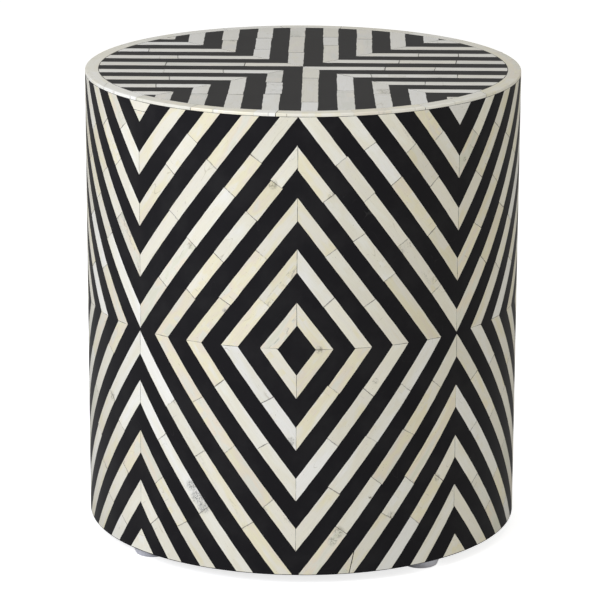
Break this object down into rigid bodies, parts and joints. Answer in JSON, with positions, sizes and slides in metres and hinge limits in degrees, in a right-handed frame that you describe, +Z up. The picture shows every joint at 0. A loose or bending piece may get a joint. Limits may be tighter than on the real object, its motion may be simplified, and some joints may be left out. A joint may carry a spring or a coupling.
{
  "type": "drum stool",
  "caption": "Closed round drum stool with diamond bone and black resin inlay, a bone rim and small glides; a seat or side table.",
  "frame": {"origin": "on the floor under the centre of the drum", "axes": "+Z up along the drum's axis, -Y the front, through the middle of one diamond column"},
  "size_m": [0.43, 0.43, 0.464],
  "materials": {
    "bone": "satin",
    "resin": "satin",
    "wood": "matte",
    "plywood": "matte",
    "nylon": "satin",
    "steel": "satin"
  },
  "bodies": {
    "root": {"base_former": "plywood", "base_panel": "plywood", "bone_chevron_1": "bone", "bone_chevron_2": "bone", "bone_chevron_3": "bone", "bone_chevron_4": "bone", "bone_corners": "bone", "bone_diamond_1": "bone", "bone_diamond_2": "bone", "bone_diamond_3": "bone", "bone_diamond_4": "bone", "glide_screws": "steel", "glides": "nylon", "middle_former": "plywood", "resin_chevron_1": "resin", "resin_chevron_2": "resin", "resin_chevron_3": "resin", "resin_chevron_4": "resin", "resin_diamond_1": "resin", "resin_diamond_2": "resin", "resin_diamond_3": "resin", "resin_heart": "resin", "resin_lattice": "resin", "rim_bone": "bone", "stave_01": "wood", "stave_02": "wood", "stave_03": "wood", "stave_04": "wood", "stave_05": "wood", "stave_06": "wood", "stave_07": "wood", "stave_08": "wood", "stave_09": "wood", "stave_10": "wood", "stave_11": "wood", "stave_12": "wood", "stave_13": "wood", "stave_14": "wood", "stave_15": "wood", "stave_16": "wood", "stave_17": "wood", "stave_18": "wood", "stave_19": "wood", "stave_20": "wood", "top_bone_back_left": "bone", "top_bone_back_right": "bone", "top_bone_front_left": "bone", "top_bone_front_right": "bone", "top_former": "plywood", "top_panel": "plywood", "top_resin_back_left": "resin", "top_resin_back_right": "resin", "top_resin_front_left": "resin", "top_resin_front_right": "resin"}
  },
  "joints": []
}
